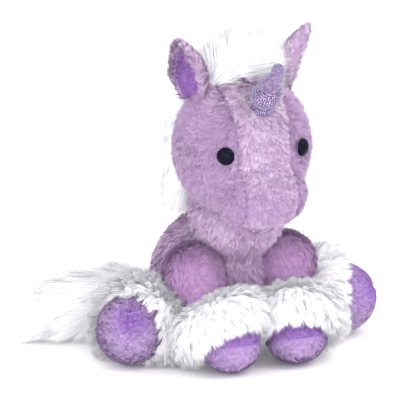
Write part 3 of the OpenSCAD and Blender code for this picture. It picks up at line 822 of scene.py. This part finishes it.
# %% Fur beds
def tube_form(name, balls, share, columns=24, rows=48):
    """A closed tube through balls of (middle, radius), at a share of their radii, with round ends."""
    middles = np.array([b[0] for b in balls], float)
    radii = np.array([b[1] for b in balls], float) * share
    gaps = np.linalg.norm(np.diff(middles, axis=0), axis=1)
    place = np.concatenate([[0], np.cumsum(gaps)])
    total = place[-1]
    s = np.linspace(-radii[0] * 0.8, total + radii[-1] * 0.8, rows)
    inside = np.clip(s, 0, total)
    centre = np.stack([np.interp(inside, place, middles[:, i]) for i in range(3)], 1)
    start, end = unit(middles[1] - middles[0]), unit(middles[-1] - middles[-2])
    centre += np.minimum(s, 0)[:, None] * start + np.maximum(s - total, 0)[:, None] * end
    radius = np.interp(inside, place, radii)
    over = np.maximum(-s, 0) / radii[0] + np.maximum(s - total, 0) / radii[-1]
    radius = radius * np.sqrt(np.maximum(1 - over**2, 0.02))
    blur = np.array([0.25, 0.5, 0.25])
    for _ in range(3):
        padded = np.concatenate([centre[:1], centre, centre[-1:]])
        centre = sum(padded[i : i + rows] * blur[i] for i in range(3))
    along = unit(np.gradient(centre, axis=0))
    side = unit(np.cross(along, UP) + 1e-6 * X)
    across = np.cross(along, side)
    rings = centre[:, None] + radius[:, None, None] * spokes(columns, side[:, None], across[:, None])
    points = np.concatenate([rings.reshape(-1, 3), centre[[0, -1]]])
    tube = make_mesh(name, points, grid_quads(rows, columns, True), fan_ends(rows, columns), closed=True)
    return tube, centre, along


def ring_form(name, middle, along, side, across, hole, half, columns=64, rows=24):
    """A closed ring round an axis: an oval section, half = (radial, axial), outside radius hole."""
    loop = np.arange(rows) * 2 * np.pi / rows
    radial, axial = hole + half[0] * (1 + np.cos(loop)), half[1] * np.sin(loop)
    points = middle + radial[:, None, None] * spokes(columns, side, across) + axial[:, None, None] * along
    quads = grid_quads(rows + 1, columns, True) % (rows * columns)
    return make_mesh(name, points.reshape(-1, 3), quads, closed=True)


# %% Cuffs
LOCKS = {"tuft_size": 4.0, "pull": 0.45, "stray": 0.35, "curl": 0.3, "droop": 0.4, "segments": 3}


def grow_cuff(leg, side, root, foot):
    """One fur cuff: a ring of locks that stand out from the leg and fall over the hoof."""
    body, name = f"{leg}_{side}", f"{leg}_cuff_{side}"
    rng = np.random.default_rng(71)
    along, across_a, across_b = axis_frame(root, foot)
    middle = root + (foot - root) * 0.70
    bed = ring_form(name + "_bed", middle, along, across_a, across_b, 22.0, (9.5, 11.0))
    points = points_of(bed)
    points[:, 2] = np.maximum(points[:, 2], 1.5)
    if leg == "foreleg":  # the two front cuffs meet, and each stays on its own side
        own = -1 if side == "right" else 1
        points[:, 0] = own * np.maximum(own * points[:, 0], 0.5)
    move_points(bed, points)
    dress(bed, white_bed, body, [name])
    roots, normals = scatter(bed, 39000, rng)
    from_axis = roots - middle
    from_axis = from_axis - dot(from_axis, along) * along
    radial = unit(from_axis)
    outer = dot(from_axis, radial)[:, 0] > 25
    roots, normals, radial = roots[outer], normals[outer], radial[outer]
    facing = unit(0.55 * normals + 0.45 * radial)
    length = 13 + 6 * dot(normals, along)[:, 0].clip(0)
    grow(name + "_fur", white_pile, body, roots, facing, along + 0.2 * DOWN, rng, length,
         width=0.75, lift=55, tint=(0.3, 0.95), soft=0.75, limits=room(name), slot="white_fur", **LOCKS)


for side in ("right", "left"):
    grow_cuff("foreleg", side, shoulders[side], forehooves[side])
    grow_cuff("hindleg", side, HIP[side], HINDHOOF[side])
print("cuffs done")


# %% Mane, crest and tail
def grow_ridge(name, body, seed, balls, share, comb, lift, length, width, droop, lowest=None):
    """Long fur along a ridge of balls; comb is (share of the ridge's own direction, a fixed direction)."""
    node = name + "_fur"
    rng = np.random.default_rng(seed)
    bed, centre, along = tube_form(name + "_bed", balls, share)
    if lowest is not None:
        points = points_of(bed)
        points[:, 2] = np.maximum(points[:, 2], lowest)
        move_points(bed, points)
    dress(bed, white_bed, body, [node])
    roots, normals = scatter(bed, 27000, rng)
    near = np.argmin(np.linalg.norm(roots[:, None] - centre[None, ::4], axis=2), axis=1) * 4
    kept = dot(normals, along[near])[:, 0] >= -0.5  # none on the ridge's first end
    roots, normals, near = roots[kept], normals[kept], near[kept]
    flow = comb[0] * along[near] + np.array(comb[1], float)
    grow(node, white_pile, body, roots, normals, flow, rng, length,
         width=width, lift=lift, tuft_size=5.0, pull=0.3, stray=0.17, curl=0.2, droop=droop, segments=4,
         tint=(0.3, 0.98), soft=0.75, limits=room(node), slot="white_fur")


# Each ridge is a chain of (middle, radius).
CREST = [((-24, -40, 247), 8), ((-4, -34, 256), 11), ((18, -30, 256), 11), ((38, -25, 246), 7)]
MANE = [
    ((0, -22, 250), 15), ((-6, 2, 230), 18), ((-13, 15, 192), 18),
    ((-21, 17, 158), 14), ((-29, 18, 136), 8),
]
TAIL = [
    ((-22, 68, 27), 11), ((-40, 71, 27), 21), ((-76, 66, 27.6), 27),
    ((-106, 69, 25.7), 25), ((-128, 70, 20), 17), ((-144, 70, 9), 8),
]
grow_ridge("crest", "head", 70, CREST, 0.9, (0.3, (0.5, 0.0, 0.9)), lift=52, length=32, width=0.7, droop=0.1)
grow_ridge("mane", "head", 71, MANE, 0.8, (0.8, (-0.8, 0.1, -0.6)), lift=28, length=34, width=0.75, droop=0.5)
grow_ridge("tail", "tail", 72, TAIL, 0.9, (1.0, (0, 0, -0.1)), lift=7, length=44, width=0.75, droop=0.12,
           lowest=1.4)
print("long fur done")


# %% [markdown]
# ## Ears
# An ear is two leaf-shaped layers sewn edge to edge and folded into a cup: plush outside, velour inside.
# Each layer is a shell between two leaf surfaces. A point on a leaf is given by its share of the height
# and by the turn round the ear's axis.

# %% Ear shells
def ear_matrix():
    """Directions of the right ear's own axes: +Z to the tip and +X out of the open side."""
    lean, forward, face = np.radians([-16, 9, 22 - 180])
    ry = np.array([[np.cos(lean), 0, np.sin(lean)], [0, 1, 0], [-np.sin(lean), 0, np.cos(lean)]])
    rx = np.array([[1, 0, 0], [0, np.cos(forward), -np.sin(forward)], [0, np.sin(forward), np.cos(forward)]])
    rz = np.array([[np.cos(face), -np.sin(face), 0], [np.sin(face), np.cos(face), 0], [0, 0, 1]])
    return ry @ rx @ rz


EAR_ROOT = np.array([-46.13, -42.43, 236.68])
EAR_TURN = ear_matrix()
EAR_RADIUS, EAR_HEIGHT, EAR_SUNK = 18.5, 61, 2  # its foot is sunk a little into the head's pile


def to_ear(side, points):
    """Points of the ear's own frame, in the toy's."""
    return for_side(EAR_ROOT + points @ EAR_TURN.T, side)


def leaf(share, turn, inset):
    """A leaf point at a share of the height: full at a third, slim at the tip, and folded down its middle."""
    full = 0.62 + 0.38 * np.sin(np.pi * 1.5 * np.minimum(share, 1 / 3))
    taper = np.cos(np.pi / 2 * np.clip((share - 1 / 3) * 1.5, 0, 1)) ** 0.55
    radius = np.maximum(EAR_RADIUS * full * taper - inset, 0.3)
    fold = 1 - 0.16 * np.exp(-(((turn - np.pi) / 0.35) ** 2)) * (1 - share)
    wavy = radius * fold * (1 + 0.05 * np.sin(share * 9 + turn))
    height = share * EAR_HEIGHT - EAR_SUNK - 2 * inset * share
    return np.stack([wavy * np.cos(turn), wavy * np.sin(turn), height], -1)


def ear_layer(name, side, outer, inner, reach, rows=40, columns=36):
    """A closed shell between two leaf surfaces, which spans reach radians to each side of the back."""
    share, turn = np.linspace(0, 1, rows), np.linspace(np.pi - reach, np.pi + reach, columns)
    share, turn = np.meshgrid(share, turn, indexing="ij")
    points = np.concatenate([leaf(share, turn, outer), leaf(share, turn, inner)[:, ::-1]], 1)
    points = to_ear(side, points.reshape(-1, 3))
    columns = 2 * columns
    quads = grid_quads(rows, columns, True)
    cap = np.arange(columns // 2)[:-1]
    last = (rows - 1) * columns
    foot = np.stack([cap, cap + 1, columns - 2 - cap, columns - 1 - cap], 1)
    quads = np.concatenate([quads[:, ::-1], foot, last + foot[:, ::-1]])
    return make_mesh(name, points, quads, closed=True)


for side in ("right", "left"):
    body = "ear_" + side
    rng = np.random.default_rng(80 + (side == "left"))
    outer = ear_layer(f"ear_outer_{side}_skin", side, 0.5, 2.8, np.pi / 2 + 0.05)
    dress(outer, lilac_skin, body, [f"ear_outer_{side}"])
    lining = ear_layer(f"ear_lining_{side}_velour", side, 2.9, 4.4, np.pi / 2 - 0.03)
    dress(lining, lining_velour, body, [f"ear_lining_{side}"])
    foot, above, beside = to_ear(side, np.array([[0.0, 0, 0], [0, 0, 1.0], [1.0, 0, 0]]))
    tip, mouth = unit(above - foot), unit(beside - foot)

    roots, normals = scatter(outer, 30000, rng)
    from_axis = roots - foot
    rim = fade(from_axis @ mouth, -5, 0)
    from_axis = from_axis - dot(from_axis, tip) * tip
    outside = (dot(normals, unit(from_axis))[:, 0] > -0.2) | (rim > 0.5)
    roots, normals, rim, from_axis = roots[outside], normals[outside], rim[outside], unit(from_axis[outside])
    facing = unit(normals + 0.8 * rim[:, None] * from_axis)
    grow(f"ear_outer_{side}_pile", frosted_pile, body, roots, facing, tip, rng, 4.5 + 2.5 * rim,
         width=0.55, lift=24, tuft_size=2.5, pull=0.35, stray=0.4, curl=0.5, tint=(0.5, 0.95),
         limits=room(f"ear_outer_{side}"), slot="lilac_plush")
    roots, normals = scatter(lining, 16000, rng)
    inside = normals @ mouth > 0
    grow(f"ear_lining_{side}_pile", purple_pile, body, roots[inside], normals[inside], tip, rng, 2.4,
         width=0.5, lift=30, tuft_size=2.5, pull=0.3, stray=0.5, curl=0.3, tint=(0.2, 0.7),
         limits=room(f"ear_lining_{side}"), slot="purple_velour")
print("ears done")

# %% [markdown]
# ## Horn
# The horn is a tapered tube of glitter mesh, wound tight by a thread from root to tip, so it swells
# between the turns.
# Its radius is a taper plus a bulge, and the bulge follows the winding.

# %% Horn
HORN_HEIGHT, HORN_SUNK = 62, 4  # its foot is sunk into the head's pile
CELLS_ROUND, CELL_HEIGHT = 38, 1.5  # the mesh's cells
CELLS_RISE = 7  # how many rows the mesh climbs in one turn, as it follows the thread


def horn_taper(share):
    """The horn's radius in its grooves: a slight waist over the foot, full at a third, and a slim tip."""
    return np.interp(share, [0, 0.12, 0.36, 0.7, 1], [7.6, 6.9, 7.6, 4.6, 2.4])


def thread_phase(share):
    """Half the turn, in radians, at which the thread lies at a share of the height: it winds 2.7 times."""
    return np.pi * 2.7 * share**0.95


def horn_radius(share, turn):
    """Taper plus a bulge that is nothing at the thread, with a gathered foot and a round tip."""
    bulge = 6.6 * np.abs(np.sin(thread_phase(share) - turn / 2 + 1.1)) ** 0.7
    bulge = bulge * (0.75 + 0.5 * np.sin(np.pi * np.minimum(share / 0.7, 1))) * (1 - 0.45 * share)
    foot = np.exp(-((share / 0.05) ** 2))
    tip = np.sqrt(np.clip((1 - share) / 0.09, 0, 1))
    return (horn_taper(share) + bulge + 0.35 * np.sin(26 * turn) * foot - 1.2 * foot) * np.maximum(tip, 0.02)


def horn_place(share):
    """A point on the horn's axis."""
    return HORN_ROOT + np.asarray(share * HORN_HEIGHT - HORN_SUNK)[..., None] * HORN_AXIS


def horn_form(rows=150, columns=72):
    """The wound horn, with a map of the mesh's cells."""
    over = np.cross(HORN_AXIS, X)
    share, turn = np.linspace(0, 1, rows), np.arange(columns) * 2 * np.pi / columns
    share, turn = np.meshgrid(share, turn, indexing="ij")
    points = horn_place(share) + horn_radius(share, turn)[..., None] * spokes(columns, X, over)
    points = np.concatenate([points.reshape(-1, 3), horn_place(np.array([0, 1]))])
    quads = grid_quads(rows, columns, True)
    horn = make_mesh("horn_cover_mesh", points, quads, fan_ends(rows, columns), closed=True)
    u = np.append((turn / (2 * np.pi) * CELLS_ROUND).ravel(), [0, 0])
    top = HORN_HEIGHT / CELL_HEIGHT
    v = np.append((share * top - turn / (2 * np.pi) * CELLS_RISE).ravel(), [0, round(top)])
    corner = np.empty(len(horn.data.loops), np.int32)
    horn.data.loops.foreach_get("vertex_index", corner)
    uv = np.stack([u, v], 1)[corner]
    face = np.arange(4 * len(quads)).reshape(-1, 4)
    wraps = np.ptp(uv[face, 0], axis=1) > CELLS_ROUND / 2
    late = face[wraps[:, None] & (uv[face, 0] < CELLS_ROUND / 2)]
    uv[late] += [CELLS_ROUND, -CELLS_RISE]
    horn.data.uv_layers.new(name="horn").uv.foreach_set("vector", uv.astype(np.float32).ravel())
    return horn


dress(horn_form(), horn_mesh, "head", ["horn_cover", "horn_stuffing"])
share = np.linspace(0.03, 0.94, 120)
turn = 2 * (thread_phase(share) + 1.1)
spoke = np.cos(turn)[:, None] * X + np.sin(turn)[:, None] * np.cross(HORN_AXIS, X)
groove = horn_place(share) + (horn_taper(share) + 0.3)[:, None] * spoke
winding, _, _ = tube_form("horn_thread_cord", [(point, 0.75) for point in groove], 1.0, columns=10, rows=240)
dress(winding, thread, "head", ["horn_thread"])
print("horn done")


# %% [markdown]
# ## Eyes
# The safety eyes are moulded black buttons: a low dome with a rounded rim.

# %% Eyes
def dome(share):
    """A button's outline: a shallow back sunk in the pile, a rounded rim and a low dome in front."""
    turn = share * np.pi
    place = np.where(turn < np.pi / 2, -1.5 * np.cos(turn), -5.6 * np.cos(turn))
    return place + 0.4, np.maximum(8.0 * np.sin(turn), 0.05)


for side, foot in EYE.items():
    out = for_side(np.array([-np.sin(np.radians(37)), -np.cos(np.radians(37)), 0.0]), side)
    eye = turned_form(f"eye_{side}_button", foot, foot + out, dome, rows=48, columns=64)
    dress(eye, eye_plastic, "head", [f"eye_{side}"])
print("eyes done")

# %% [markdown]
# ## What stays from the CAD
# The pieces inside the toy keep their CAD shape and get their own material.

# %% Inner pieces
inner = {
    "seat_panel": lilac_skin,
    "tail_core": lilac_skin,
    "pellet_bag": bag_cloth,
    "eye_washers": washer_plastic,
}
for name, node in nodes.items():
    if node.hide_render:
        continue
    node.data.materials.clear()
    node.data.materials.append(inner.get(name, stuffing))
print("kept", sorted(name for name, node in nodes.items() if not node.hide_render))

# %% [markdown]
# ## Stage
# A white floor, a white surround and large soft lights, as for a catalogue picture.

# %% Floor, lights and camera
bpy.ops.mesh.primitive_plane_add(size=8, location=(0, 0, -0.0005))
floor = bpy.context.object
floor.name = "floor"
paper, paper_surface = new_material("white paper", 0.9)
paper_surface.inputs["Base Color"].default_value = linear("#ffffff")
floor.data.materials.append(paper)

world = bpy.data.worlds.new("white surround")
scene.world = world
world.use_nodes = True
world.node_tree.nodes["Background"].inputs["Color"].default_value = linear("#ffffff")
world.node_tree.nodes["Background"].inputs["Strength"].default_value = 1.3


def soft_light(name, place, aim, size, power):
    """A large square lamp at a place, in metres, that faces a point."""
    data = bpy.data.lights.new(name, "AREA")
    data.size, data.energy = size, power
    lamp = bpy.data.objects.new(name, data)
    scene.collection.objects.link(lamp)
    place, aim = Vector(place), Vector(aim)
    lamp.location = place
    lamp.rotation_mode = "QUATERNION"
    lamp.rotation_quaternion = (place - aim).to_track_quat("Z", "Y")
    return lamp


soft_light("key", (0.7, -1.1, 1.5), (0, 0, 0.12), 0.8, 10)
soft_light("side fill", (-1.4, -0.9, 0.7), (0, 0, 0.1), 1.2, 7)
soft_light("low front fill", (-0.6, -1.7, 0.35), (0, 0, 0.08), 1.0, 10)

AIM = Vector((-0.0008, 0.037, 0.120))
BACK = Vector((-0.407, -0.873, 0.267)).normalized()
camera_data = bpy.data.cameras.new("camera")
camera_data.lens, camera_data.sensor_width = 608, 36
camera = bpy.data.objects.new("camera", camera_data)
scene.collection.objects.link(camera)
camera.location = AIM + BACK * 6.0
camera_data.clip_end = 50
camera.rotation_mode = "QUATERNION"
camera.rotation_quaternion = BACK.to_track_quat("Z", "Y")
scene.camera = camera
scene.view_settings.view_transform = "Standard"
